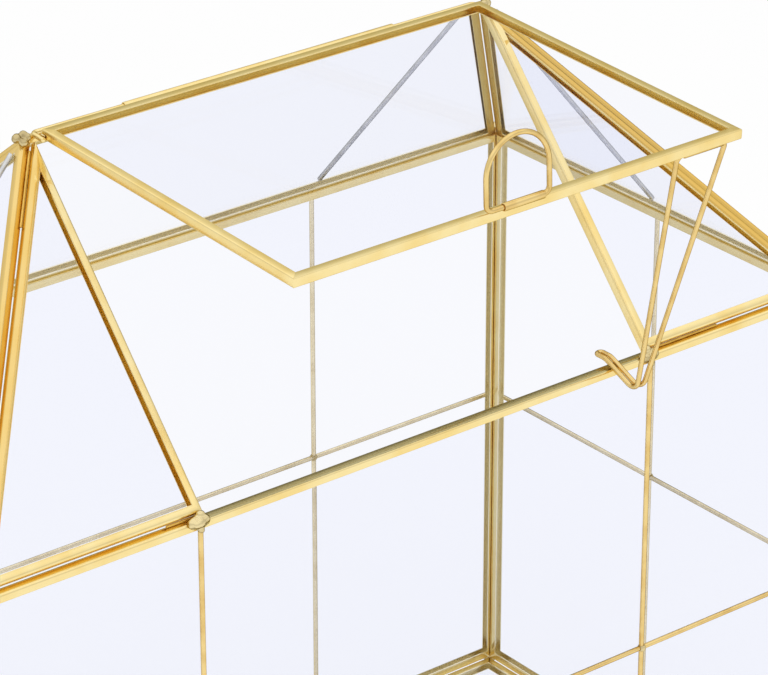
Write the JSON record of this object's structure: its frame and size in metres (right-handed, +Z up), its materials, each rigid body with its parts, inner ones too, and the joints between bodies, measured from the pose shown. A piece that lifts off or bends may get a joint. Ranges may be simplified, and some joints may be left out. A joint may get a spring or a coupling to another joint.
{
  "type": "wedding card box",
  "caption": "House-shaped clear glass card box in soldered brass channel, with a hip roof and a ridge-hinged lid in its front slope held open by a hooked wire prop.",
  "frame": {"origin": "on the table under the middle of the base", "axes": "+X along the ridge to the right as seen from the lid's side, +Y from the lid's side to the back, +Z up"},
  "size_m": [0.332, 0.2108, 0.3265],
  "materials": {
    "clear_glass": "clear float glass",
    "channel_brass": "bright folded sheet",
    "wire_brass": "drawn wire",
    "hinge_brass": "drawn tube and rod",
    "handle_brass": "drawn wire and tube",
    "prop_brass": "drawn wire and tube",
    "tinned_wire": "solder-coated wire",
    "solder": "dull solder with a brass wash"
  },
  "bodies": {
    "case": {"back_roof_channel": "channel_brass", "back_roof_glass": "clear_glass", "back_roof_wire_left": "tinned_wire", "back_roof_wire_right": "tinned_wire", "back_wall_channel": "channel_brass", "back_wall_cross_wire": "wire_brass", "back_wall_glass": "clear_glass", "back_wall_upright_wire_left": "wire_brass", "back_wall_upright_wire_right": "wire_brass", "base_channel": "channel_brass", "base_corner_solder": "solder", "base_glass": "clear_glass", "eave_corner_solder": "solder", "front_left_roof_channel": "channel_brass", "front_left_roof_glass": "clear_glass", "front_right_roof_channel": "channel_brass", "front_right_roof_glass": "clear_glass", "front_seam_solder": "solder", "front_wall_channel": "channel_brass", "front_wall_cross_wire": "wire_brass", "front_wall_glass": "clear_glass", "front_wall_upright_wire_left": "wire_brass", "front_wall_upright_wire_right": "wire_brass", "hinge_tube_solder": "solder", "left_hip_channel": "channel_brass", "left_hip_glass": "clear_glass", "left_hip_wire": "tinned_wire", "left_wall_channel": "channel_brass", "left_wall_cross_wire": "wire_brass", "left_wall_glass": "clear_glass", "left_wall_upright_wire": "wire_brass", "rafter_foot_solder": "solder", "ridge_end_solder": "solder", "ridge_hinge_tube": "hinge_brass", "right_hip_channel": "channel_brass", "right_hip_glass": "clear_glass", "right_hip_wire": "tinned_wire", "right_wall_channel": "channel_brass", "right_wall_cross_wire": "wire_brass", "right_wall_glass": "clear_glass", "right_wall_upright_wire": "wire_brass", "wire_crossing_solder": "solder"},
    "lid": {"lid_channel": "channel_brass", "lid_glass": "clear_glass", "lid_hinge_pin": "hinge_brass", "lid_pin_solder": "solder", "handle_tube": "handle_brass", "prop_tube": "prop_brass"},
    "handle": {"handle_ring": "handle_brass"},
    "prop": {"prop_wire": "prop_brass"}
  },
  "joints": [
    {"name": "lid_hinge", "type": "hinge", "parent": "case", "child": "lid", "pos_m": [0, 0.00119, 0.30529], "axis": [-1, 0, 0], "range_deg": [0, 150]},
    {"name": "handle_swing", "type": "hinge", "parent": "lid", "child": "handle", "pos_m": [-0.00225, -0.12408, 0.30473], "axis": [1, 0, 0], "range_deg": [-80, 160]},
    {"name": "prop_swing", "type": "hinge", "parent": "lid", "child": "prop", "pos_m": [0.0702, -0.1194, 0.29972], "axis": [-1, 0, 0], "range_deg": [0, 100]}
  ]
}
